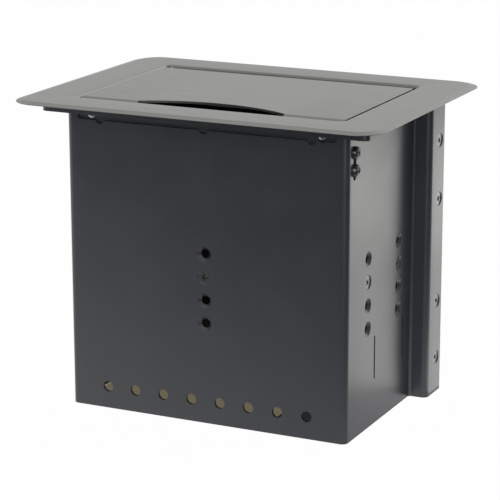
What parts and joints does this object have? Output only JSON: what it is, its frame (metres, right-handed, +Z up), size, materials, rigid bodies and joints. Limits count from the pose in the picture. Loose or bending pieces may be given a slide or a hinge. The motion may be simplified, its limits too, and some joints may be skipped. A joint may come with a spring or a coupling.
{
  "type": "conference table box",
  "caption": "Recessed table box: folded black steel housing under a brushed aluminium frame, with a lid that turns up and back, a cable arc, and an inner panel with sockets.",
  "frame": {"origin": "on the floor under the middle of the top frame", "axes": "+X right seen from the front, +Y to the rear, where the lid's pivots are, +Z up"},
  "size_m": [0.25, 0.187, 0.202],
  "materials": {
    "brushed_aluminium": "brushed along the width, clear anodised",
    "black_steel": "black powder coat, satin",
    "black_screws": "black passivated",
    "zinc_steel": "bright zinc",
    "stainless_steel": "plain stainless",
    "black_rubber": "moulded, matt",
    "black_plastic": "moulded, fine grain",
    "nylon": "turned, natural",
    "brass": "turned"
  },
  "bodies": {
    "housing": {"top_frame": "brushed_aluminium", "front_shell": "black_steel", "rear_panel": "black_steel", "mounting_collar": "black_steel", "front_rail": "black_steel", "module_panel": "black_steel", "lid_rests": "black_steel", "panel_screws": "black_screws", "rear_screws": "black_screws", "rail_screws": "black_screws", "hinge_screws": "black_screws", "insert_screws": "black_screws", "hinge_bracket_left": "zinc_steel", "hinge_bracket_right": "zinc_steel", "frame_studs": "zinc_steel", "frame_nuts": "zinc_steel", "hinge_nuts": "zinc_steel", "rail_nuts": "zinc_steel", "rear_nuts": "zinc_steel", "panel_nuts": "zinc_steel", "rest_rivets": "zinc_steel", "hinge_pins": "stainless_steel", "hinge_clips": "stainless_steel", "earth_clips": "stainless_steel", "lid_bumpers": "black_rubber", "panel_edge_trim": "black_rubber", "power_sockets": "black_plastic", "mains_inlet": "black_plastic", "network_insert": "black_plastic", "video_insert": "black_plastic", "charger_insert": "black_plastic", "socket_contacts": "brass", "earth_stud": "brass", "earth_washer": "brass", "earth_nut": "brass"},
    "lid": {"lid_plate": "brushed_aluminium", "lid_carrier": "zinc_steel", "hinge_bushes": "nylon"}
  },
  "joints": [
    {"name": "lid_hinge", "type": "hinge", "parent": "housing", "child": "lid", "pos_m": [0, 0.04975, 0.1962], "axis": [-1, 0, 0], "range_deg": [0, 105]}
  ]
}
